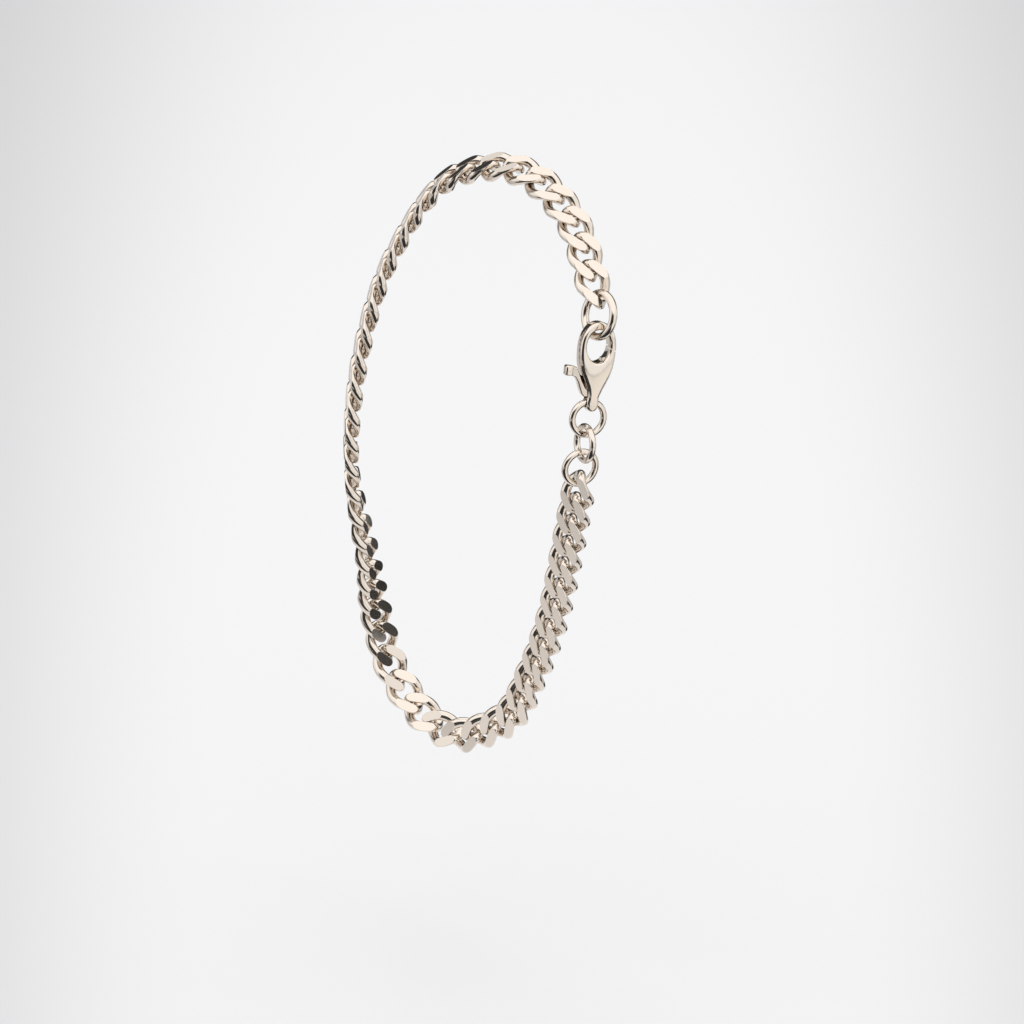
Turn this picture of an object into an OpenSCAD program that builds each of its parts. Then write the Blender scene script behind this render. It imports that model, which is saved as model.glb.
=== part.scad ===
// Chain bracelet: curb chain, lobster clasp and rings, held in the form it hangs in.
// The origin is the underside of the chain's highest link, where the bracelet hangs.
// X runs to the right, Y to the back and Z up. All sizes are in millimetres.

/* [Chain link] */
// Length of a link over its outside
link_length = 7.1; // [7:0.05:7.2]
// Width of a link over its outside
link_width = 5; // [4.8:0.05:5.2]
// Wire of a link, measured across the face
wire_width = 1.25; // [1.1:0.05:1.3]
// Wire of a link, measured through its thickness
wire_depth = 1.1; // [1:0.05:1.15]
// Thickness of a link between its two ground faces
link_thickness = 1.82; // [1.6:0.02:1.9]
// Twist from the middle of a link to its end, in degrees
link_twist = 58; // [55:1:60]
// Power that shapes a link's oval, where 1 is an ellipse and more is leaner
link_fullness = 1.05; // [1:0.01:1.1]
// Distance from one link's centre to the next
link_pitch = 3.84; // [3.8:0.01:3.88]

/* [Rings] */
// Wire of the big end ring
big_wire = 1.12; // [1:0.02:1.16]
// Outside width of the big end ring
big_ring = 7; // [6.9:0.1:7.1]
// Wire of the three jump rings
jump_wire = 0.9; // [0.7:0.05:0.95]
// Outside width of each jump ring
jump_ring = 5.5; // [5.4:0.05:5.6]

/* [Clasp] */
// Thickness of the clasp at its belly
belly_thickness = 2.6; // [2.4:0.1:2.8]
// Thickness of the clasp at its hook and its tail
hook_thickness = 1.9; // [1.8:0.1:2]
// Thickness of the lever's plate
lever_thickness = 1.16; // [1:0.02:1.2]
// Width of the slot that the lever swings in
slot_width = 1.36; // [1.32:0.02:1.4]
// Diameter of the rivet that the lever turns on
rivet_d = 0.6; // [0.5:0.05:0.65]
// Gap between the lever and the rivet, all round
rivet_gap = 0.04; // [0.03:0.01:0.06]
// Gap between the gate and the hook's end
gate_gap = 0.11; // [0.1:0.01:0.15]

/* [Hidden] */
silver = "gainsboro";

// The chain's route by link number: link, centre x, y, z, then the way its face looks x, y, z
ROUTE = [
    [1, 7.2, -18.1, -38.2, -0.60, -0.80, -0.11],
    [4, 5.6, -15.1, -49.2, -0.58, -0.80, -0.15],
    [7, 3.8, -11.7, -60.0, -0.66, -0.75, -0.10],
    [10, 1.0, -7.6, -70.4, -0.70, -0.71, -0.09],
    [13, -3.0, -3.0, -79.6, -0.57, -0.81, -0.10],
    [15, -8.9, 1.9, -83.9, -0.51, -0.85, 0.14],
    [17, -14.1, 6.7, -82.8, -0.19, -0.74, 0.65],
    [19, -18.0, 10.1, -77.8, 0.51, -0.82, 0.27],
    [21, -20.0, 10.0, -70.3, 0.70, -0.71, -0.08],
    [24, -21.3, 6.5, -59.6, 0.93, -0.36, 0.06],
    [28, -23.4, 4.2, -44.6, 1.00, 0.03, 0.05],
    [32, -22.3, 4.6, -29.3, 0.98, 0.10, -0.19],
    [36, -17.9, 6.8, -14.7, 0.87, -0.01, -0.49],
    [40, -9.4, 5.4, -2.2, 0.52, 0.01, -0.85],
    [43, -0.4, 0.0, 0.9, 0.12, 0.30, -0.95],
    [46, 6.7, -7.1, -3.9, -0.27, 0.74, -0.61],
    [48, 9.2, -11.5, -10.5, -0.37, 0.78, -0.50]
];
front_links = [1:24];
back_links = [25:48];

// A link's own shape: wire sections along the oval, and sides round each section
sections = 14;
sides = 6;
ring_steps = 48;

// Rings: centre x, y, z, heading of the axis and its rise, both in degrees
BIG_RING = [10.01, -14.05, -13.86, -144, 19];
RING_A = [8.5, -17.7, -27.4, -66, 7];
RING_B = [8.1, -18.3, -30.85, -154, 9];
RING_C = [7.47, -18.51, -34.35, -64, 0];

// The clasp's own frame: origin at the tail hole, X across its face, Y up to the hook
clasp_place = [8.8, -17.3, -25.25];
clasp_turn = [78.5, 11.5, 21.2];

// Outer edge of the clasp body, anticlockwise from the tail's end, smoothed between the points
BODY_EDGE = [[0.05, -1.2], [0.7, -0.85], [0.92, 0], [0.9, 0.8], [1.25, 1.8], [1.75, 2.9],
             [2.2, 4], [2.5, 5.3], [2.62, 6.8], [2.55, 8.3], [2.15, 9.7], [1.3, 11], [0, 11.5],
             [-1.3, 11], [-2.15, 9.7], [-2.6, 8.3], [-2.66, 6.8], [-2.35, 5.3], [-1.85, 4.1],
             [-1.2, 3], [-0.7, 1.9], [-0.6, 0.8], [-0.8, 0], [-0.6, -0.85]];
// The opening inside the hook: middle, half width and half height
mouth_mid = [-0.02, 7.78];
mouth_half = [1.68, 2.25];
// Half thickness of the body along its length: place, share of the way from hook to belly
SIDE_EDGE = [[-1.3, 0], [0.3, 0.1], [2, 0.75], [4, 1], [5.6, 0.9], [7.4, 0.2], [9, 0], [11.5, 0]];

// The lever turns about this point
pivot = [-0.1, 1.4];
lever_boss_r = 0.62;
slot_boss_r = 0.74;
// Top of the gate, on the inside and the outside of the arm
seam_in = [1.1, 7.9];
seam_out = [3, 7.05];
// The full-thickness gate starts this far from the pivot, and the body's cheeks end below it
gate_start_r = 4.72;
cheek_end_r = 4.6;
// Room that the gate is cut from: its left and right sides, its foot, and how far its seam falls
gate_left = 0.9;
gate_right = 4;
gate_foot = 4;
seam_fall = 0.45;
tail_hole_r = 0.7;
// Length of a cutter that passes right through the clasp
through = 6;

// Plate of the lever between the cheeks, from boss to gate and back
TONGUE_EDGE = [[0.45, 1.1], [1.25, 2.7], [1.85, 4.2], [2.2, 5.4], [2.25, 6.4], [1.5, 6.5],
               [0.8, 6.2], [0.75, 5.4], [0.4, 4], [-0.4, 1.95]];
// Arm and thumb nub on the spine side, from the boss out and back
ARM_EDGE = [[-0.1, 0.8], [-1.05, 0.85], [-1.7, 1.6], [-2.25, 2.8], [-2.75, 3.45], [-3.9, 3.7],
            [-3.9, 5], [-3, 5.1], [-2.62, 4.6], [-2, 3.5], [-1.3, 2.6], [-0.1, 1.9]];
nub_middle = [-3.75, 4.35];
nub_size = [0.75, 1.5, 2];
// Space cut for the lever between the cheeks
SLOT_EDGE = [[0.55, 0.85], [1.45, 2.7], [2.02, 4], [2.3, 5.2], [2.36, 6.6], [-1.2, 6.6],
             [-1.15, 4.6], [-1.6, 3.7], [-3, 3.4], [-3, 0], [-1.2, 0.15], [-0.6, 0.45]];

function unit(v) = v / norm(v);

// Index of the route's station before link number u
function station(u, i = 0) =
    i >= len(ROUTE) - 2 || u < ROUTE[i + 1][0] ? i : station(u, i + 1);

// Place and facing of station i, as one list of six numbers
function stop_at(i) = [for (k = [1:6]) ROUTE[i][k]];

// Change of place and facing per link between station i and the next one
function rate(i) = (stop_at(i + 1) - stop_at(i)) / (ROUTE[i + 1][0] - ROUTE[i][0]);

// Change per link at station i, from both sides of it
function slope(i) =
    i == 0 ? rate(0)
    : i == len(ROUTE) - 1 ? rate(i - 1)
    : let (before = ROUTE[i][0] - ROUTE[i - 1][0], after = ROUTE[i + 1][0] - ROUTE[i][0])
      (rate(i - 1) * after + rate(i) * before) / (before + after);

// Smooth curve through the stations, at link number u
function along(u) =
    let (i = station(u), span = ROUTE[i + 1][0] - ROUTE[i][0], t = (u - ROUTE[i][0]) / span)
    stop_at(i) * (2 * pow(t, 3) - 3 * pow(t, 2) + 1)
    + slope(i) * span * (pow(t, 3) - 2 * pow(t, 2) + t)
    + stop_at(i + 1) * (3 * pow(t, 2) - 2 * pow(t, 3))
    + slope(i + 1) * span * (pow(t, 3) - pow(t, 2));

function place(u) = let (s = along(u)) [s[0], s[1], s[2]];
function facing(u) = let (s = along(u)) [s[3], s[4], s[5]];

// Route value one pitch further on than u, found in a few corrections
function next_along(u, guess, tries = 5) =
    tries == 0 ? guess
    : next_along(u, guess + (link_pitch - norm(place(guess) - place(u))) / link_pitch, tries - 1);

// Route value of each link, one pitch apart, from the first link on
function stepped(count, list) =
    len(list) == count ? list
    : let (u = list[len(list) - 1]) stepped(count, concat(list, [next_along(u, u + 1)]));

link_at = stepped(48, [1]);

// Signed power, which makes an ellipse leaner or fuller
function full(v) = sign(v) * pow(abs(v), link_fullness);

// Middle of the wire at turn t of a link's oval, twisted about the link's length
function wire_middle(t) =
    let (x = (link_length - wire_width) / 2 * full(cos(t)),
         r = (link_width - wire_width) / 2 * full(sin(t)),
         turn = -link_twist * x / ((link_length - wire_width) / 2))
    [x, r * cos(turn), r * sin(turn)];

// Point s of the wire section at turn t, flattened by the two ground faces
function wire_point(t, s) =
    let (mid = wire_middle(t),
         turn = -link_twist * mid[0] / ((link_length - wire_width) / 2),
         run = unit(wire_middle(t + 0.5) - wire_middle(t - 0.5)),
         up0 = [0, -sin(turn), cos(turn)],
         up = unit(up0 - run * (up0 * run)),
         out = cross(run, up),
         p = mid + up * (wire_depth / 2 * cos(s)) + out * (wire_width / 2 * sin(s)))
    [p[0], p[1], max(-link_thickness / 2, min(link_thickness / 2, p[2]))];

LINK_POINTS = [for (i = [0:sections - 1], j = [0:sides - 1])
                   wire_point(360 * i / sections, 360 * j / sides)];
function wire_index(i, j) = (i % sections) * sides + j % sides;
LINK_FACES = [for (i = [0:sections - 1], j = [0:sides - 1], half = [0, 1])
                  half == 0 ? [wire_index(i, j), wire_index(i + 1, j + 1), wire_index(i, j + 1)]
                            : [wire_index(i, j), wire_index(i + 1, j), wire_index(i + 1, j + 1)]];

// One link, number k, set on the route with its length along it and its face outward
module link(k) {
    u = link_at[k - 1];
    run = unit(place(u + 0.5) - place(u - 0.5));
    up = unit(facing(u) - run * (facing(u) * run));
    across = cross(up, run);
    polyhedron(points = [for (p = LINK_POINTS) place(u) + run * p[0] + across * p[1] + up * p[2]],
               faces = LINK_FACES);
}

module chain_front() {
    color(silver) for (k = front_links) link(k);
}

module chain_back() {
    color(silver) for (k = back_links) link(k);
}

// A round wire ring set by its centre, heading and rise
module wire_ring(row, outside, wire) {
    translate([row[0], row[1], row[2]])
        rotate([0, 90 - row[4], row[3]])
            rotate_extrude($fn = ring_steps)
                translate([(outside - wire) / 2, 0])
                    circle(d = wire, $fn = 24);
}

module big_ring() {
    color(silver) wire_ring(BIG_RING, big_ring, big_wire);
}

module ring_a() {
    color(silver) wire_ring(RING_A, jump_ring, jump_wire);
}

module ring_b() {
    color(silver) wire_ring(RING_B, jump_ring, jump_wire);
}

module ring_c() {
    color(silver) wire_ring(RING_C, jump_ring, jump_wire);
}

// Closed curve through the points, three steps between each pair
function rounded(points, steps = 3) =
    let (n = len(points))
    [for (i = [0:n - 1], k = [0:steps - 1])
        let (a = points[(i + n - 1) % n], b = points[i], c = points[(i + 1) % n],
             d = points[(i + 2) % n], t = k / steps)
        0.5 * (2 * b + (c - a) * t + (2 * a - 5 * b + 4 * c - d) * pow(t, 2)
               + (3 * b - a - 3 * c + d) * pow(t, 3))];

function half_thickness(share) =
    hook_thickness / 2 + share * (belly_thickness - hook_thickness) / 2;

module clasp_frame() {
    translate(clasp_place) rotate(clasp_turn) children();
}

// A flat shape made a plate of the given thickness about the clasp's middle plane
module plate(thickness) {
    translate([0, 0, -thickness / 2]) linear_extrude(thickness) children();
}

// The whole clasp's solid outline, body and gate together, before the mouth is cut
module clasp_blank() {
    front = [for (s = SIDE_EDGE) [s[0], half_thickness(s[1])]];
    back = [for (i = [len(SIDE_EDGE) - 1:-1:0]) [SIDE_EDGE[i][0], -half_thickness(SIDE_EDGE[i][1])]];
    intersection() {
        plate(through) polygon(rounded(BODY_EDGE));
        rotate([90, 0, 90])
            linear_extrude(2 * through, center = true)
                polygon(concat(front, back));
    }
}

module mouth() {
    plate(through)
        polygon([for (t = [0:10:350]) mouth_mid + [mouth_half[0] * cos(t), mouth_half[1] * sin(t)]]);
}

// Room outside a circle about the pivot, to the right of the mouth's middle and below the seam
module gate_room(from_r, seam_drop) {
    difference() {
        polygon([[gate_left, gate_foot], [gate_right, gate_foot],
                 [gate_right, seam_out[1] - seam_fall - seam_drop], seam_in - [0, seam_drop],
                 [gate_left, seam_in[1] - seam_drop]]);
        translate(pivot) circle(r = from_r, $fn = 96);
    }
}

module clasp_body() {
    color(silver) clasp_frame() difference() {
        clasp_blank();
        mouth();
        plate(through) gate_room(cheek_end_r, 0);
        plate(slot_width) polygon(SLOT_EDGE);
        plate(slot_width) translate(pivot) circle(r = slot_boss_r, $fn = 48);
        translate(pivot) cylinder(d = rivet_d, h = through, center = true, $fn = 32);
        rotate([0, 90, 0]) cylinder(r = tail_hole_r, h = through, center = true, $fn = 32);
    }
}

module clasp_lever() {
    color(silver) clasp_frame() difference() {
        union() {
            plate(lever_thickness) translate(pivot) circle(r = lever_boss_r, $fn = 48);
            plate(lever_thickness) polygon(TONGUE_EDGE);
            plate(lever_thickness) polygon(ARM_EDGE);
            translate([nub_middle[0], nub_middle[1], 0]) cube(nub_size, center = true);
            difference() {
                intersection() {
                    clasp_blank();
                    plate(through) gate_room(gate_start_r, gate_gap);
                }
                mouth();
            }
        }
        translate(pivot)
            cylinder(d = rivet_d + 2 * rivet_gap, h = through, center = true, $fn = 32);
    }
}

module clasp_rivet() {
    rivet_length = 2 * half_thickness(0.5);
    color(silver) clasp_frame()
        translate(pivot) cylinder(d = rivet_d, h = rivet_length, center = true, $fn = 32);
}

chain_front();
chain_back();
big_ring();
ring_a();
ring_b();
ring_c();
clasp_body();
clasp_lever();
clasp_rivet();
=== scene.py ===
"""Dresses a curb-chain bracelet with a lobster clasp: links, rings, clasp, lever, rivet, studio.

Sizes are in millimetres until a mesh is placed, and in metres from there on.
"""

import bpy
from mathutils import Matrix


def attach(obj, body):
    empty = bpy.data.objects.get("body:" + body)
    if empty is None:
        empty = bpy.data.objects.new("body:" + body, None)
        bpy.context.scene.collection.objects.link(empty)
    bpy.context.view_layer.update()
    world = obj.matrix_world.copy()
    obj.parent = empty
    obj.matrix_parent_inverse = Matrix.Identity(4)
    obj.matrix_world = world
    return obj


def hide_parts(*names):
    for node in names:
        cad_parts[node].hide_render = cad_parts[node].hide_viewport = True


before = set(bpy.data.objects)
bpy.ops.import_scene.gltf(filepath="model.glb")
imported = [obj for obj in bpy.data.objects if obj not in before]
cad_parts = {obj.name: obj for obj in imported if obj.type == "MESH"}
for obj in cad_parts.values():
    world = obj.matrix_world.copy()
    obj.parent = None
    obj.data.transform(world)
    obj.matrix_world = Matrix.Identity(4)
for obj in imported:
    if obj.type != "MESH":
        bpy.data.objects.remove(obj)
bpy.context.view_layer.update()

import logging
import math
from dataclasses import dataclass, field
from enum import Enum
from typing import Sequence

import bmesh
import bpy
from mathutils import Matrix, Vector

LOG = logging.getLogger("bracelet")
MM = 0.001
ROOT_BODY = "bracelet"
LEVER_BODY = "lever"
# How near two points lie, in millimetres, to be made one.
FRAME_WELD = 0.002
CUT_WELD = 0.0005
SPIN_WELD = 0.0001
# The colour sockets of a mix node, which share their names with its number sockets.
COLOUR_A, COLOUR_B, COLOUR_OUT = 6, 7, 2
# Where the search for a solid's axes starts, square to none of them, and its rounds.
AXIS_START = (0.31, 0.52, 0.79)
AXIS_ROUNDS = 200
# Half the width of a shape that is made one millimetre wide and then stretched to size.
UNIT_HALF = 0.5
PLATE_ROUND_STEPS = 3
Point = tuple[float, float]
Place = tuple[float, float, float]


def srgb(code: str) -> tuple[float, float, float, float]:
    """Turn a colour as seen on a screen into the linear one that the shader wants.

    The numbers are the ones that define the screen's curve.

    Args:
        code: The colour as #rrggbb.

    Returns:
        Linear red, green, blue and an alpha of one.
    """
    parts = [int(code[i:i + 2], 16) / 255 for i in (1, 3, 5)]
    line = [p / 12.92 if p <= 0.04045 else ((p + 0.055) / 1.055) ** 2.4 for p in parts]
    return (line[0], line[1], line[2], 1.0)


class Cut(Enum):
    """How one solid acts on another."""

    AWAY = "DIFFERENCE"
    SHARED = "INTERSECT"
    JOINED = "UNION"


def add(tree: bpy.types.NodeTree, kind: str, inputs: dict[str | int, object] | None = None,
        **settings: object) -> bpy.types.Node:
    """Add a node with its settings, and feed its inputs.

    Args:
        tree: The node tree.
        kind: The node's type.
        inputs: Input name or number, with a value to set or an output to link from.
        settings: The node's own settings.

    Returns:
        The new node.
    """
    node = tree.nodes.new(kind)
    for name, value in settings.items():
        setattr(node, name, value)
    for name, value in (inputs or {}).items():
        if isinstance(value, bpy.types.NodeSocket):
            tree.links.new(value, node.inputs[name])
        else:
            node.inputs[name].default_value = value
    return node


def new_material(name: str) -> tuple[bpy.types.Material, bpy.types.Node]:
    """Start a node material.

    Args:
        name: What the real material is.

    Returns:
        The material and its shader.
    """
    made = bpy.data.materials.new(name)
    made.use_nodes = True
    return made, made.node_tree.nodes["Principled BSDF"]


@dataclass(frozen=True)
class PolishedSilver:
    """Sterling silver, tumbled and buffed: a warm mirror.

    Buffing leaves faint clouds, where the reflections are a little softer, and hairlines that
    run one way. Real hairlines are about 0.01 mm apart. These are 0.07 mm apart, so that they
    show at all as a slight grain in the reflections.
    """

    name: str = "sterling silver polished"
    tone: str = "#e6dbcf"
    roughness_low: float = 0.07
    roughness_high: float = 0.14
    cloud_mm: float = 1.6
    cloud_detail: float = 3.0
    hairline_mm: float = 0.07
    hairline_depth_mm: float = 0.0006
    hairline_run: Place = (0.4, 0.7, 0.2)
    hairline_squeeze: Place = (1.0, 1.0, 0.08)

    def material(self) -> bpy.types.Material:
        """Build the node material.

        Returns:
            The material, its patterns scaled in real millimetres.
        """
        made, metal = new_material(self.name)
        tree = made.node_tree
        metal.inputs["Base Color"].default_value = srgb(self.tone)
        metal.inputs["Metallic"].default_value = 1.0
        place = add(tree, "ShaderNodeTexCoord").outputs["Object"]
        clouds = add(tree, "ShaderNodeTexNoise", {
            "Vector": place, "Scale": 1 / (self.cloud_mm * MM), "Detail": self.cloud_detail})
        sheen = add(tree, "ShaderNodeMapRange", {
            "Value": clouds.outputs["Fac"],
            "To Min": self.roughness_low, "To Max": self.roughness_high})
        tree.links.new(sheen.outputs["Result"], metal.inputs["Roughness"])
        stretch = add(tree, "ShaderNodeMapping", {
            "Vector": place, "Rotation": self.hairline_run, "Scale": self.hairline_squeeze})
        hairs = add(tree, "ShaderNodeTexNoise", {
            "Vector": stretch.outputs["Vector"], "Scale": 1 / (self.hairline_mm * MM)})
        bump = add(tree, "ShaderNodeBump", {
            "Height": hairs.outputs["Fac"], "Distance": self.hairline_depth_mm * MM})
        tree.links.new(bump.outputs["Normal"], metal.inputs["Normal"])
        return made


@dataclass(frozen=True)
class PalePaper:
    """Seamless studio paper: matt and pale, with a trace of tooth.

    A pool of light is painted into its colour: lightest by the bracelet, greyer to the sides.
    The painted pool is long from front to back, so that the picture is even from top to bottom.
    """

    name: str = "studio paper"
    painted_pool_tone: str = "#e1e1e2"
    painted_falloff_tone: str = "#c0c0c1"
    painted_pool_mm: float = 42.0
    painted_falloff_mm: float = 105.0
    painted_pool_depth_share: float = 0.14
    roughness: float = 0.9
    tooth_mm: float = 0.5
    tooth_depth_mm: float = 0.01

    def material(self) -> bpy.types.Material:
        """Build the node material.

        Returns:
            The material for the studio floor.
        """
        made, paper = new_material(self.name)
        tree = made.node_tree
        paper.inputs["Roughness"].default_value = self.roughness
        paper.inputs["Specular IOR Level"].default_value = 0.0
        place = add(tree, "ShaderNodeTexCoord").outputs["Object"]
        # Painted pool of light: the colour is painted pale near the bracelet and grey further out.
        flat = add(tree, "ShaderNodeMapping", {
            "Vector": place, "Scale": (1.0, self.painted_pool_depth_share, 0.0)})
        reach = add(tree, "ShaderNodeVectorMath", {0: flat.outputs["Vector"]}, operation="LENGTH")
        painted_falloff = add(tree, "ShaderNodeMapRange", {
            "Value": reach.outputs["Value"],
            "From Min": self.painted_pool_mm * MM, "From Max": self.painted_falloff_mm * MM},
            interpolation_type="SMOOTHSTEP")
        tone = add(tree, "ShaderNodeMix", {
            "Factor": painted_falloff.outputs["Result"],
            COLOUR_A: srgb(self.painted_pool_tone), COLOUR_B: srgb(self.painted_falloff_tone)}, data_type="RGBA")
        tree.links.new(tone.outputs[COLOUR_OUT], paper.inputs["Base Color"])
        tooth = add(tree, "ShaderNodeTexNoise", {
            "Vector": place, "Scale": 1 / (self.tooth_mm * MM)})
        bump = add(tree, "ShaderNodeBump", {
            "Height": tooth.outputs["Fac"], "Distance": self.tooth_depth_mm * MM})
        tree.links.new(bump.outputs["Normal"], paper.inputs["Normal"])
        return made


@dataclass(frozen=True)
class Card:
    """Matt card laid flat on the floor: dull, with a faint fibre.

    Only the polished metal sees it: it doesn't show in the picture, its light or its shadows.
    """

    name: str
    tone: str
    at: Point
    size: Point
    roughness: float = 0.8
    fibre_mm: float = 0.4
    fibre_depth_mm: float = 0.01

    def material(self) -> bpy.types.Material:
        """Build the node material.

        Returns:
            The material for the card.
        """
        made, card = new_material(self.name)
        tree = made.node_tree
        card.inputs["Base Color"].default_value = srgb(self.tone)
        card.inputs["Roughness"].default_value = self.roughness
        place = add(tree, "ShaderNodeTexCoord").outputs["Object"]
        fibre = add(tree, "ShaderNodeTexNoise", {
            "Vector": place, "Scale": 1 / (self.fibre_mm * MM)})
        bump = add(tree, "ShaderNodeBump", {
            "Height": fibre.outputs["Fac"], "Distance": self.fibre_depth_mm * MM})
        tree.links.new(bump.outputs["Normal"], card.inputs["Normal"])
        return made

    def lay(self, level: float) -> None:
        """Lay the card down.

        Args:
            level: The height that it lies at, in millimetres.
        """
        bm = bmesh.new()
        bmesh.ops.create_grid(bm, x_segments=1, y_segments=1, size=UNIT_HALF)
        there = Matrix.Translation((*self.at, level)) @ Matrix.Diagonal((*self.size, 1, 1))
        made = finished(bm, self.name.replace(" ", "_"), there)
        made.data.materials.append(self.material())
        made.visible_camera = False
        made.visible_diffuse = False
        made.visible_shadow = False


def finished(bm: bmesh.types.BMesh, name: str, place: Matrix) -> bpy.types.Object:
    """Turn a millimetre bmesh into a scene object at its place in metres.

    Args:
        bm: The mesh, which is freed.
        name: The piece's name.
        place: Its place in the bracelet, in millimetres.

    Returns:
        The linked object, itself at the origin.
    """
    bmesh.ops.transform(bm, matrix=Matrix.Scale(MM, 4) @ place, verts=bm.verts)
    mesh = bpy.data.meshes.new(name)
    bm.to_mesh(mesh)
    bm.free()
    made = bpy.data.objects.new(name, mesh)
    bpy.context.scene.collection.objects.link(made)
    return made


def dress(piece: bpy.types.Object, finish: bpy.types.Material, body: str, node: str) -> None:
    """Give a piece its finish and its place in the frame.

    Args:
        piece: The piece.
        finish: Its material.
        body: The body that it moves with.
        node: The frame's node that it stands for.
    """
    piece.data.materials.clear()
    piece.data.materials.append(finish)
    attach(piece, body)
    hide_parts(node)
    LOG.info("%s: %d faces", piece.name, len(piece.data.polygons))


def merged(node: str) -> bmesh.types.BMesh:
    """Copy a node of the frame with its loose triangles joined.

    Args:
        node: The node's name.

    Returns:
        A bmesh in millimetres.
    """
    bm = bmesh.new()
    bm.from_mesh(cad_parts[node].data)
    bmesh.ops.transform(bm, matrix=Matrix.Scale(1 / MM, 4), verts=bm.verts)
    bmesh.ops.remove_doubles(bm, verts=bm.verts, dist=FRAME_WELD)
    return bm


def islands(bm: bmesh.types.BMesh) -> list[list[Vector]]:
    """Split a mesh into its loose solids.

    Args:
        bm: The mesh.

    Returns:
        The corner points of each solid.
    """
    left = set(bm.verts)
    found = []
    for first in bm.verts:
        if first not in left:
            continue
        left.remove(first)
        reached = [first]
        solid = []
        while reached:
            vert = reached.pop()
            solid.append(vert.co.copy())
            for edge in vert.link_edges:
                other = edge.other_vert(vert)
                if other in left:
                    left.remove(other)
                    reached.append(other)
        found.append(solid)
    return found


def main_frame(points: Sequence[Vector]) -> Matrix:
    """Find a solid's own axes, longest first, from the spread of its corners.

    Args:
        points: The solid's corners.

    Returns:
        Its place: X along the longest spread, Y along the next, and Z as X cross Y.
    """
    middle = sum(points, Vector()) / len(points)
    spread = Matrix(((0.0,) * 3,) * 3)
    for p in points:
        d = p - middle
        for row in range(3):
            spread[row] += d * d[row]
    axes = []
    for _ in range(2):
        axis = Vector(AXIS_START)
        for known in axes:
            axis -= known * axis.dot(known)
        for _ in range(AXIS_ROUNDS):
            axis = spread @ axis
            for known in axes:
                axis -= known * axis.dot(known)
            axis.normalize()
        axes.append(axis)
    axes.append(axes[0].cross(axes[1]))
    return Matrix.Translation(middle) @ Matrix(axes).transposed().to_4x4()


def hoop(radius: float, wire: Point, steps: int, sides: int) -> bmesh.types.BMesh:
    """Bend a wire into a closed round hoop about Z.

    Args:
        radius: The distance from the hoop's middle to the wire's.
        wire: The wire's width across the hoop and its depth along Z.
        steps: Steps round the hoop.
        sides: Sides of the wire.

    Returns:
        A bmesh in millimetres.
    """
    bm = bmesh.new()
    section = bmesh.ops.create_circle(bm, segments=sides, radius=UNIT_HALF)
    stand = Matrix.Translation((radius, 0, 0)) @ Matrix.Rotation(math.pi / 2, 4, "X")
    size = Matrix.Diagonal((*wire, 1, 1))
    bmesh.ops.transform(bm, matrix=stand @ size, verts=section["verts"])
    bmesh.ops.spin(bm, geom=bm.verts[:] + bm.edges[:], cent=(0, 0, 0), axis=(0, 0, 1),
                   angle=math.tau, steps=steps, use_merge=True)
    bmesh.ops.remove_doubles(bm, verts=bm.verts, dist=SPIN_WELD)
    return bm


def smooth(bm: bmesh.types.BMesh) -> None:
    """Turn every face outward and shade it smooth.

    Args:
        bm: The mesh.
    """
    bmesh.ops.recalc_face_normals(bm, faces=bm.faces)
    for face in bm.faces:
        face.smooth = True


def round_over(bm: bmesh.types.BMesh, edges: list[bmesh.types.BMEdge], offset: float,
               segments: int) -> None:
    """Round some edges over.

    Args:
        bm: The mesh.
        edges: The edges.
        offset: How far the rounding reaches from each edge.
        segments: Steps across the rounding.
    """
    bmesh.ops.bevel(bm, geom=edges, offset=offset, segments=segments, profile=0.5,
                    affect="EDGES", clamp_overlap=True, material=-1)


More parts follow.
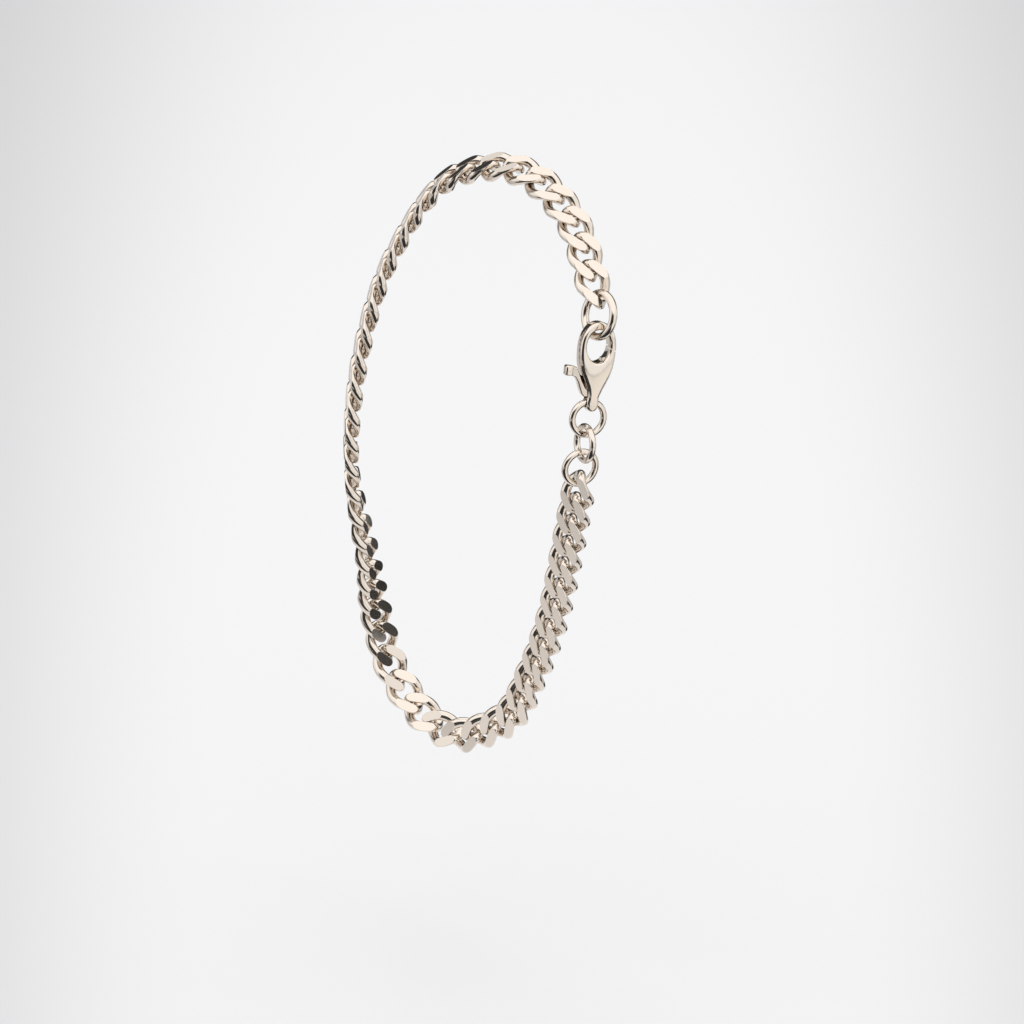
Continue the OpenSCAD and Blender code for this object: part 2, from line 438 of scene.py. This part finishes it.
@dataclass
class CurbLink:
    """One link: an oval of wire twisted about its length and ground flat on both faces.

    The twist is in degrees, from the link's middle to its end. The link is wound from a round
    hoop, whose radius only has to be larger than the wire.
    """

    length: float = 7.1
    width: float = 5.0
    wire_width: float = 1.38
    wire_depth: float = 1.28
    thickness: float = 1.82
    twist: float = 55.0
    fullness: float = 1.06
    steps: int = 72
    sides: int = 18
    hoop_radius: float = 10.0
    run_step: float = 0.01
    arris: float = 0.035
    arris_segments: int = 2
    flat_normal: float = 0.9999
    flat_slack: float = 0.002

    def _middle(self, t: float) -> tuple[Vector, float]:
        """Find where the wire's middle lies, and how far it is twisted.

        Args:
            t: The turn round the oval, in radians.

        Returns:
            The place of the wire's middle, and its twist in radians.
        """
        half_length = (self.length - self.wire_width) / 2
        half_width = (self.width - self.wire_width) / 2
        c, s = math.cos(t), math.sin(t)
        x = half_length * math.copysign(abs(c) ** self.fullness, c)
        r = half_width * math.copysign(abs(s) ** self.fullness, s)
        turn = -math.radians(self.twist) * x / half_length
        return Vector((x, r * math.cos(turn), r * math.sin(turn))), turn

    def _wound(self, co: Vector) -> Vector:
        """Carry a point of the plain hoop onto the twisted oval.

        Args:
            co: The point on the hoop.

        Returns:
            The same point of the link.
        """
        t = math.atan2(co.y, co.x)
        middle, turn = self._middle(t)
        ahead, behind = self._middle(t + self.run_step)[0], self._middle(t - self.run_step)[0]
        run = (ahead - behind).normalized()
        up = Vector((0, -math.sin(turn), math.cos(turn)))
        up = (up - run * up.dot(run)).normalized()
        out = run.cross(up)
        return middle + up * co.z + out * (math.hypot(co.x, co.y) - self.hoop_radius)

    def mesh(self) -> bpy.types.Mesh:
        """Build the link once, for every place on the chain.

        Returns:
            The link's mesh in millimetres, X along it and Z through its faces.
        """
        bm = hoop(self.hoop_radius, (self.wire_width, self.wire_depth), self.steps, self.sides)
        for vert in bm.verts:
            vert.co = self._wound(vert.co)
        smooth(bm)
        for side in (1, -1):
            self._grind(bm, side)
        made = bpy.data.meshes.new("link")
        bm.to_mesh(made)
        bm.free()
        return made

    def _grind(self, bm: bmesh.types.BMesh, side: int) -> None:
        """Grind one face of the link flat and break its sharp edge.

        Args:
            bm: The link.
            side: 1 for the upper face, -1 for the lower one.
        """
        level = side * self.thickness / 2
        cut = bmesh.ops.bisect_plane(
            bm, geom=bm.verts[:] + bm.edges[:] + bm.faces[:], dist=CUT_WELD,
            plane_co=(0, 0, level), plane_no=(0, 0, side), clear_outer=True)
        rim = [e for e in cut["geom_cut"] if isinstance(e, bmesh.types.BMEdge)]
        bmesh.ops.edgeloop_fill(bm, edges=rim)
        bmesh.ops.recalc_face_normals(bm, faces=bm.faces)
        round_over(bm, rim, self.arris, self.arris_segments)
        for face in bm.faces:
            off_level = abs(face.calc_center_median().z - level)
            if abs(face.normal.z) > self.flat_normal and off_level < self.flat_slack:
                face.smooth = False
                for edge in face.edges:
                    edge.smooth = False


@dataclass
class Chain:
    """The curb chain, in the two lengths that the frame has."""

    lengths: tuple[str, ...] = ("chain_front", "chain_back")
    link: CurbLink = field(default_factory=CurbLink)

    def build(self, finish: bpy.types.Material) -> None:
        """Set a full link at every place where the frame has a plain one.

        Args:
            finish: The metal.
        """
        pattern = self.link.mesh()
        for node in self.lengths:
            plain = merged(node)
            places = [main_frame(solid) for solid in islands(plain)]
            plain.free()
            bm = bmesh.new()
            for place in places:
                before = len(bm.verts)
                bm.from_mesh(pattern)
                bm.verts.ensure_lookup_table()
                bmesh.ops.transform(bm, matrix=place, verts=bm.verts[before:])
            piece = finished(bm, node.replace("chain", "links"), Matrix.Identity(4))
            dress(piece, finish, ROOT_BODY, node)
            LOG.info("%s: %d links", node, len(places))


@dataclass
class WireRing:
    """A closed ring of round wire, no joint showing."""

    node: str
    wire: float
    outside: float
    steps: int = 96
    sides: int = 28

    def build(self, finish: bpy.types.Material) -> None:
        """Bend the ring in the frame's place.

        Args:
            finish: The metal.
        """
        plain = merged(self.node)
        place = main_frame([v.co.copy() for v in plain.verts])
        plain.free()
        radius = (self.outside - self.wire) / 2
        bm = hoop(radius, (self.wire, self.wire), self.steps, self.sides)
        smooth(bm)
        dress(finished(bm, self.node + "_wire", place), finish, ROOT_BODY, self.node)


def rounded(points: Sequence[Point], steps: int) -> list[Vector]:
    """Draw a smooth closed curve through a few points.

    Args:
        points: The points in order.
        steps: Steps from one point to the next.

    Returns:
        The curve's points in the plane.
    """
    count = len(points)
    curve = []
    for i in range(count):
        a, b, c, d = (Vector(points[(i + k) % count]) for k in (-1, 0, 1, 2))
        for k in range(steps):
            t = k / steps
            curve.append(0.5 * (2 * b + (c - a) * t + (2 * a - 5 * b + 4 * c - d) * t ** 2
                                + (3 * b - a - 3 * c + d) * t ** 3))
    return curve


def plate(points: Sequence[Point], thickness: float, edge: float = 0.0) -> bpy.types.Object:
    """Cut a plate to an outline, about the middle plane, its edges broken.

    Args:
        points: The outline.
        thickness: The plate's thickness.
        edge: How far its edges are rounded.

    Returns:
        A working object in millimetres.
    """
    bm = bmesh.new()
    face = bm.faces.new([bm.verts.new((p[0], p[1], -thickness / 2)) for p in points])
    grown = bmesh.ops.extrude_face_region(bm, geom=[face])
    tops = [v for v in grown["geom"] if isinstance(v, bmesh.types.BMVert)]
    bmesh.ops.translate(bm, vec=(0, 0, thickness), verts=tops)
    bmesh.ops.recalc_face_normals(bm, faces=bm.faces)
    if edge:
        rims = [e for e in bm.edges if e.verts[0].co.z * e.verts[1].co.z > 0]
        round_over(bm, rims, edge, PLATE_ROUND_STEPS)
    return working(bm)


def working(bm: bmesh.types.BMesh) -> bpy.types.Object:
    """Keep a mesh as a working object, in millimetres, until it is used.

    Args:
        bm: The mesh, which is freed.

    Returns:
        The linked object.
    """
    mesh = bpy.data.meshes.new("work")
    bm.to_mesh(mesh)
    bm.free()
    made = bpy.data.objects.new("work", mesh)
    bpy.context.scene.collection.objects.link(made)
    return made


def combine(base: bpy.types.Object, tool: bpy.types.Object, how: Cut) -> None:
    """Cut, join or trim one working object with another.

    Args:
        base: The object that changes.
        tool: The object that it is cut or joined with, which is used up.
        how: What happens to the two.
    """
    change = base.modifiers.new("cut", "BOOLEAN")
    change.operation = how.value
    change.object = tool
    change.solver = "EXACT"
    view = bpy.context.evaluated_depsgraph_get()
    result = bpy.data.meshes.new_from_object(base.evaluated_get(view))
    base.modifiers.clear()
    base.data = result
    bpy.data.objects.remove(tool)


@dataclass
class LobsterClasp:
    """The clasp in its own frame: origin at the tail hole, X across the face, Y to the hook.

    Its outline, slot, tongue and arm are the few points that each is drawn through. The swell
    gives, along Y, the share that the clasp has grown from the hook's thickness to the belly's.
    """

    place: Place = (8.8, -17.3, -25.25)
    turn: Place = (78.5, 11.5, 21.2)
    edge_points: tuple[Point, ...] = (
        (0.05, -1.2), (0.7, -0.85), (0.92, 0), (0.9, 0.8), (1.25, 1.8), (1.75, 2.9), (2.2, 4),
        (2.5, 5.3), (2.62, 6.8), (2.55, 8.3), (2.15, 9.6), (1.3, 10.7), (0, 11.15), (-1.3, 10.7),
        (-2.12, 9.6), (-2.48, 8.3), (-2.52, 6.8), (-2.35, 5.3), (-1.95, 4.1), (-1.45, 3),
        (-0.95, 1.9), (-0.72, 0.8), (-0.8, 0), (-0.6, -0.85))
    edge_point_steps: int = 4
    mouth_mid: Point = (-0.02, 7.78)
    mouth_half: Point = (1.66, 2.2)
    mouth_sides: int = 56
    belly: float = 2.6
    hook: float = 1.9
    swell: tuple[Point, ...] = (
        (-1.3, 0.0), (0.3, 0.12), (2, 0.72), (4, 1.0), (5.6, 0.8), (7.2, 0.25), (9, 0.0),
        (11.6, 0.0))
    crown: float = 0.34
    crown_least_width: float = 0.5
    edge_round: float = 0.43
    edge_steps: int = 7
    grid: float = 0.24
    grid_start: float = 0.013
    grid_weld: float = 0.001
    grid_reach: tuple[tuple[float, float, Place], ...] = (
        (-1.3, 11.5, (0, 1, 0)), (-2.7, 2.7, (1, 0, 0)))
    sharp_degrees: float = 32.0
    pivot: Point = (-0.1, 1.4)
    gate_r: float = 4.66
    cheek_r: float = 4.63
    gate_degrees: tuple[int, int, int] = (34, 84, 2)
    gate_depth: float = 2.0
    seam: tuple[Point, ...] = ((0.9, 8.02), (1.1, 7.93), (3, 7.08), (4, 6.6))
    seam_gap: float = 0.15
    seam_lap: float = 0.3
    tail_hole_r: float = 0.7
    tail_bore: float = 6.0
    slot: float = 1.16
    slot_points: tuple[Point, ...] = (
        (0.55, 0.85), (1.45, 2.7), (2.02, 4), (2.3, 5.2), (2.36, 6.6), (-1.2, 6.6), (-1.15, 4.6),
        (-1.6, 3.7), (-3, 3.4), (-3, 0), (-1.2, 0.15), (-0.6, 0.45))
    lever: float = 1.04
    tongue_points: tuple[Point, ...] = (
        (0.45, 1.1), (1.25, 2.7), (1.85, 4.2), (2.2, 5.4), (2.25, 6.4), (1.5, 6.5), (0.8, 6.2),
        (0.75, 5.4), (0.4, 4), (-0.4, 1.95))
    tongue_round: float = 0.06
    arm_points: tuple[Point, ...] = (
        (-0.1, 0.8), (-0.7, 0.78), (-1.25, 0.82), (-1.62, 1.15), (-1.95, 1.9), (-2.3, 2.75),
        (-2.75, 3.4), (-3.3, 3.62), (-4.0, 3.65), (-4.0, 4.95), (-3.3, 5.0), (-2.7, 4.85),
        (-2.25, 4.1), (-1.7, 2.95), (-1.1, 2.0), (-0.1, 1.9))
    arm_round: float = 0.22
    boss_r: float = 0.62
    nub_size: Place = (1.1, 1.45, 1.2)
    nub_at: Place = (-3.72, 4.3, 0)
    nub_round: float = 0.3
    nub_steps: int = 5
    rivet: float = 0.6
    rivet_gap: float = 0.04
    rivet_bore: float = 4.0
    bar_sides: int = 48

    def frame(self) -> Matrix:
        """Place of the clasp in the bracelet, in millimetres."""
        turns = [Matrix.Rotation(math.radians(a), 4, axis) for a, axis in zip(self.turn, "XYZ")]
        return Matrix.Translation(self.place) @ turns[2] @ turns[1] @ turns[0]

    def _share(self, y: float) -> float:
        """Find how far the clasp has swollen from hook to belly at a place along it.

        Args:
            y: The place along the clasp.

        Returns:
            0 at the hook's thickness, 1 at the belly's, on a smooth curve through the stations.
        """
        rows = self.swell
        i = next((k for k in range(len(rows) - 2) if y < rows[k + 1][0]), len(rows) - 2)
        (y0, s0), (y1, s1) = rows[i], rows[i + 1]
        before, after = rows[max(i - 1, 0)], rows[min(i + 2, len(rows) - 1)]
        slope0 = (s1 - before[1]) / (y1 - before[0]) * (y1 - y0)
        slope1 = (after[1] - s0) / (after[0] - y0) * (y1 - y0)
        t = min(1.0, max(0.0, (y - y0) / (y1 - y0)))
        return (s0 * (2 * t ** 3 - 3 * t ** 2 + 1) + slope0 * (t ** 3 - 2 * t ** 2 + t)
                + s1 * (3 * t ** 2 - 2 * t ** 3) + slope1 * (t ** 3 - t ** 2))

    def _half_thickness(self, x: float, y: float) -> float:
        """Half of the clasp's thickness, domed across the belly.

        Args:
            x: The place across the clasp.
            y: The place along the clasp.

        Returns:
            The distance from the middle plane to the face.
        """
        share = self._share(y)
        left, right = self._span(y)
        across = (2 * x - left - right) / max(right - left, self.crown_least_width)
        return (self.hook + share * (self.belly - self.hook)) / 2 - self.crown * share * across ** 2

    def _span(self, y: float) -> Point:
        """Find the outline's left and right edges at a place along the clasp.

        Args:
            y: The place along the clasp.

        Returns:
            The two edges' places across it.
        """
        rows = self.edge_points
        hits = [0.0]
        for (x0, y0), (x1, y1) in zip(rows, rows[1:] + rows[:1]):
            if (y0 - y) * (y1 - y) <= 0 and y0 != y1:
                hits.append(x0 + (x1 - x0) * (y - y0) / (y1 - y0))
        return min(hits), max(hits)

    def blank(self) -> bpy.types.Object:
        """Shape the clasp's whole outline with its mouth, edges rounded as cast and tumbled.

        Returns:
            A working object: body and gate in one.
        """
        bm = bmesh.new()
        outline = rounded(self.edge_points, self.edge_point_steps)
        verts = [bm.verts.new((p[0], p[1], 0)) for p in outline]
        for k, vert in enumerate(verts):
            bm.edges.new((vert, verts[(k + 1) % len(verts)]))
        mouth = bmesh.ops.create_circle(bm, segments=self.mouth_sides, radius=1)
        shape = Matrix.Translation((*self.mouth_mid, 0)) @ Matrix.Diagonal((*self.mouth_half, 1, 1))
        bmesh.ops.transform(bm, matrix=shape, verts=mouth["verts"])
        bmesh.ops.triangle_fill(bm, edges=bm.edges[:], use_beauty=True)
        if sum(f.normal.z for f in bm.faces) < 0:
            bmesh.ops.reverse_faces(bm, faces=bm.faces[:])
        self._round_edges(bm)
        for low, high, normal in self.grid_reach:
            for step in range(1, int((high - low) / self.grid)):
                at = Vector(normal) * (low + step * self.grid + self.grid_start)
                bmesh.ops.bisect_plane(bm, geom=bm.verts[:] + bm.edges[:] + bm.faces[:],
                                       dist=self.grid_weld, plane_co=at, plane_no=normal)
        for vert in bm.verts:
            vert.co.z += self._half_thickness(vert.co.x, vert.co.y) - self.edge_round
        rim = [e for e in bm.edges if e.is_boundary]
        wall = bmesh.ops.extrude_edge_only(bm, edges=rim)["geom"]
        for vert in (v for v in wall if isinstance(v, bmesh.types.BMVert)):
            vert.co.z = 0
        bmesh.ops.mirror(bm, geom=bm.verts[:] + bm.edges[:] + bm.faces[:],
                         merge_dist=CUT_WELD, axis="Z")
        bmesh.ops.remove_doubles(bm, verts=bm.verts, dist=CUT_WELD)
        smooth(bm)
        return working(bm)

    def _round_edges(self, bm: bmesh.types.BMesh) -> None:
        """Inset the flat blank in rings and raise each one onto a quarter circle.

        Args:
            bm: The flat blank, facing up.
        """
        inner = bm.faces[:]
        gone = 0.0
        for step in range(1, self.edge_steps + 1):
            angle = math.pi / 2 * step / self.edge_steps
            reach = self.edge_round * (1 - math.cos(angle))
            bmesh.ops.inset_region(bm, faces=inner, thickness=reach - gone, depth=0.0,
                                   use_boundary=True, use_even_offset=True)
            gone = reach
            for vert in {v for f in inner for v in f.verts}:
                vert.co.z = self.edge_round * math.sin(angle)

    def _gate_room(self, radius: float, drop: float, side: int) -> bpy.types.Object:
        """Make the room that the gate is cut from, in the front or the back half of the clasp.

        The back half reaches higher, so the gate's end laps behind the hook's and little light
        comes through the seam.

        Args:
            radius: The room starts this far from the pivot.
            drop: How far its top lies below the hook's end.
            side: 1 for the front half, -1 for the back one.

        Returns:
            A working object.
        """
        arc = []
        for degrees in range(*self.gate_degrees):
            a = math.radians(degrees)
            arc.append((self.pivot[0] + radius * math.cos(a), self.pivot[1] + radius * math.sin(a)))
        rise = -drop if side > 0 else self.seam_lap - drop
        top = [(x, y + rise) for x, y in self.seam]
        made = plate([*arc, *top], self.gate_depth)
        made.data.transform(Matrix.Translation((0, 0, side * self.gate_depth / 2)))
        return made

    def _bar(self, x: float, y: float, radius: float, along: str,
             length: float) -> bpy.types.Object:
        """Make a round bar for a bore or a boss.

        Args:
            x: Its place across the clasp.
            y: Its place along the clasp.
            radius: Its radius.
            along: The axis that it follows, X or Z.
            length: Its length.

        Returns:
            A working object.
        """
        bm = bmesh.new()
        bmesh.ops.create_cone(bm, cap_ends=True, segments=self.bar_sides, radius1=radius,
                              radius2=radius, depth=length)
        turn = Matrix.Rotation(math.pi / 2, 4, "Y") if along == "X" else Matrix.Identity(4)
        bmesh.ops.transform(bm, matrix=Matrix.Translation((x, y, 0)) @ turn, verts=bm.verts)
        return working(bm)

    def body(self, finish: bpy.types.Material) -> None:
        """Build the hook, spine, cheeks and tail.

        Args:
            finish: The metal.
        """
        made = self.blank()
        for side in (1, -1):
            combine(made, self._gate_room(self.cheek_r, 0.0, side), Cut.AWAY)
        combine(made, plate(self.slot_points, self.slot), Cut.AWAY)
        combine(made, self._bar(*self.pivot, self.rivet / 2, "Z", self.rivet_bore), Cut.AWAY)
        combine(made, self._bar(0, 0, self.tail_hole_r, "X", self.tail_bore), Cut.AWAY)
        self._close(made, "clasp_body_cast", finish, ROOT_BODY, "clasp_body")

    def lever_arm(self, finish: bpy.types.Material) -> None:
        """Build the gate, tongue, arm and thumb nub as one piece.

        Args:
            finish: The metal.
        """
        made = self.blank()
        room = self._gate_room(self.gate_r, self.seam_gap, 1)
        combine(room, self._gate_room(self.gate_r, self.seam_gap, -1), Cut.JOINED)
        combine(made, room, Cut.SHARED)
        combine(made, plate(self.tongue_points, self.lever, self.tongue_round), Cut.JOINED)
        combine(made, plate(self.arm_points, self.lever, self.arm_round), Cut.JOINED)
        combine(made, self._bar(*self.pivot, self.boss_r, "Z", self.lever), Cut.JOINED)
        combine(made, self._nub(), Cut.JOINED)
        hole_r = self.rivet / 2 + self.rivet_gap
        combine(made, self._bar(*self.pivot, hole_r, "Z", self.rivet_bore), Cut.AWAY)
        self._close(made, "clasp_lever_cast", finish, LEVER_BODY, "clasp_lever")

    def _nub(self) -> bpy.types.Object:
        """Shape the thumb pad: a small block with soft corners.

        Returns:
            A working object.
        """
        bm = bmesh.new()
        bmesh.ops.create_cube(bm, size=2 * UNIT_HALF)
        shape = Matrix.Translation(self.nub_at) @ Matrix.Diagonal((*self.nub_size, 1))
        bmesh.ops.transform(bm, matrix=shape, verts=bm.verts)
        round_over(bm, bm.edges[:], self.nub_round, self.nub_steps)
        return working(bm)

    def _close(self, made: bpy.types.Object, name: str, finish: bpy.types.Material,
               body: str, node: str) -> None:
        """Clean a working object, shade it and set it in place.

        Args:
            made: The working object, which is used up.
            name: The piece's name.
            finish: The metal.
            body: The body that it moves with.
            node: The node that it stands for.
        """
        bm = bmesh.new()
        bm.from_mesh(made.data)
        bpy.data.objects.remove(made)
        bmesh.ops.remove_doubles(bm, verts=bm.verts, dist=CUT_WELD)
        bmesh.ops.dissolve_degenerate(bm, edges=bm.edges, dist=CUT_WELD)
        bmesh.ops.delete(bm, geom=[e for e in bm.edges if not e.link_faces], context="EDGES")
        smooth(bm)
        sharp = math.radians(self.sharp_degrees)
        for edge in bm.edges:
            if len(edge.link_faces) == 2 and edge.calc_face_angle() > sharp:
                edge.smooth = False
        piece = finished(bm, name, self.frame())
        dress(piece, finish, body, node)
        even = piece.modifiers.new("even light on flats", "WEIGHTED_NORMAL")
        even.keep_sharp = True

    def rivet_pin(self, finish: bpy.types.Material) -> None:
        """Build the rivet, its two ends filed flush with the clasp's faces and polished over.

        Args:
            finish: The metal.
        """
        made = self.blank()
        combine(made, self._bar(*self.pivot, self.rivet / 2, "Z", self.rivet_bore), Cut.SHARED)
        self._close(made, "clasp_rivet_pin", finish, ROOT_BODY, "clasp_rivet")


@dataclass(frozen=True)
class RoomPatch:
    """A soft-edged patch of the room's walls, seen from the bracelet.

    Its place and its reach are in degrees: it is full out to one angle from its middle and
    fades to nothing at the other. Its tone is 1 where the room is as bright as white paper.
    """

    name: str
    azimuth: float
    elevation: float
    full: float
    fades: float
    tone: float

    def direction(self) -> Place:
        """Direction of the patch's middle; azimuth 0 is the camera's side and 90 the right."""
        a, e = math.radians(self.azimuth), math.radians(self.elevation)
        return (math.sin(a) * math.cos(e), -math.cos(a) * math.cos(e), math.sin(e))


@dataclass
class Studio:
    """Camera, floor, cards and soft light.

    The metal mirrors a bright room, dark behind the bracelet and on the camera's side. The
    cards on the floor give its flat faces their dark and their white.
    """

    room_tone: float = 1.05
    patches: tuple[RoomPatch, ...] = (
        RoomPatch("left wall", -85, 12, 25, 45, 1.05),
        RoomPatch("dark camera side", -20, 4, 31, 46, 0.04),
        RoomPatch("dark back wall", 180, 5, 52, 72, 0.05),
        RoomPatch("ceiling", 0, 90, 50, 64, 1.25))
    panel_at: Place = (0.0, 0.13, 0.5)
    panel_aim: Place = (0.0, 0.0, -0.045)
    panel_size: Point = (0.5, 0.5)
    panel_radiance: float = 1.1
    scale_px_per_mm: float = 7.4
    image_px: float = 1024.0
    origin_px: Point = (524.5, 179.74)
    elevation: float = 25.0
    distance: float = 3.0
    target_depth_mm: float = 16.0
    sensor_mm: float = 36.0
    clip: Point = (0.1, 20.0)
    floor_mm: float = -112.0
    floor_half_mm: float = 1200.0
    cards: tuple[Card, ...] = (
        Card("black card in front", "#101010", (-95, -620), (310, 1140)),
        Card("black card behind", "#101010", (5, 147.5), (130, 35)),
        Card("black card beside it", "#101010", (52, 72.5), (36, 115)),
        Card("black card on the right", "#101010", (127, -27.5), (126, 85)),
        Card("white card", "#f4f2ee", (500, -490), (860, 810)))
    card_lift_mm: float = 1.0

    def camera(self) -> None:
        """Set the camera at the photograph's angle, far off, as a long lens sees it."""
        e = math.radians(self.elevation)
        into = Vector((0, math.cos(e), -math.sin(e)))
        down = Vector((0, -math.sin(e), -math.cos(e)))
        shift = [(self.image_px / 2 - c) / self.scale_px_per_mm for c in self.origin_px]
        right = Vector((1, 0, 0))
        target = (right * shift[0] + down * shift[1] + into * self.target_depth_mm) * MM
        width = self.image_px / self.scale_px_per_mm * MM
        lens = bpy.data.cameras.new("camera")
        lens.sensor_width = self.sensor_mm
        lens.lens = self.sensor_mm * self.distance / width
        lens.clip_start, lens.clip_end = self.clip
        seat = bpy.data.objects.new("camera", lens)
        seat.location = target - into * self.distance
        seat.rotation_euler = (math.pi / 2 - e, 0, 0)
        bpy.context.scene.collection.objects.link(seat)
        bpy.context.scene.camera = seat

    def floor(self) -> None:
        """Lay the pale floor below the bracelet."""
        bm = bmesh.new()
        bmesh.ops.create_grid(bm, x_segments=2, y_segments=2, size=self.floor_half_mm)
        sheet = finished(bm, "floor", Matrix.Translation((0, 0, self.floor_mm)))
        sheet.data.materials.append(PalePaper().material())

    def _panel(self) -> None:
        """Hang the soft panel overhead; the metal mirrors the ceiling there, not the panel."""
        lamp = bpy.data.lights.new("top panel", "AREA")
        lamp.shape = "RECTANGLE"
        lamp.size, lamp.size_y = self.panel_size
        lamp.energy = self.panel_radiance * math.pi * self.panel_size[0] * self.panel_size[1]
        seat = bpy.data.objects.new("top panel", lamp)
        seat.visible_glossy = False
        seat.location = self.panel_at
        aim = Vector(self.panel_aim) - Vector(self.panel_at)
        seat.rotation_euler = aim.to_track_quat("-Z", "Y").to_euler()
        bpy.context.scene.collection.objects.link(seat)

    def _room(self) -> None:
        """Fill the room with soft light; its dark parts draw the polished metal's edges."""
        room = bpy.data.worlds.new("room")
        room.use_nodes = True
        tree = room.node_tree
        toward = add(tree, "ShaderNodeTexCoord").outputs["Generated"]
        tone: bpy.types.NodeSocket | float = self.room_tone
        for patch in self.patches:
            near = add(tree, "ShaderNodeVectorMath", {0: toward, 1: patch.direction()},
                       operation="DOT_PRODUCT")
            edge = add(tree, "ShaderNodeMapRange", {
                "Value": near.outputs["Value"], "From Min": math.cos(math.radians(patch.fades)),
                "From Max": math.cos(math.radians(patch.full))}, interpolation_type="SMOOTHSTEP")
            tone = add(tree, "ShaderNodeMix", {
                "Factor": edge.outputs["Result"], "A": tone, "B": patch.tone}).outputs["Result"]
        tree.links.new(tone, tree.nodes["Background"].inputs["Color"])
        bpy.context.scene.world = room

    def build(self) -> None:
        """Set up the whole studio."""
        self.camera()
        self.floor()
        for card in self.cards:
            card.lay(self.floor_mm + self.card_lift_mm)
        self._panel()
        self._room()
        bpy.context.scene.view_settings.view_transform = "Standard"


def main() -> None:
    """Build every piece in order and report it."""
    logging.basicConfig(level=logging.INFO, format="%(name)s: %(message)s")
    silver = PolishedSilver().material()
    Chain().build(silver)
    WireRing("big_ring", wire=1.12, outside=7.0).build(silver)
    for node in ("ring_a", "ring_b", "ring_c"):
        WireRing(node, wire=0.9, outside=5.5).build(silver)
    clasp = LobsterClasp()
    clasp.body(silver)
    clasp.lever_arm(silver)
    clasp.rivet_pin(silver)
    Studio().build()
    LOG.info("studio set")


if __name__ == "__main__":
    main()
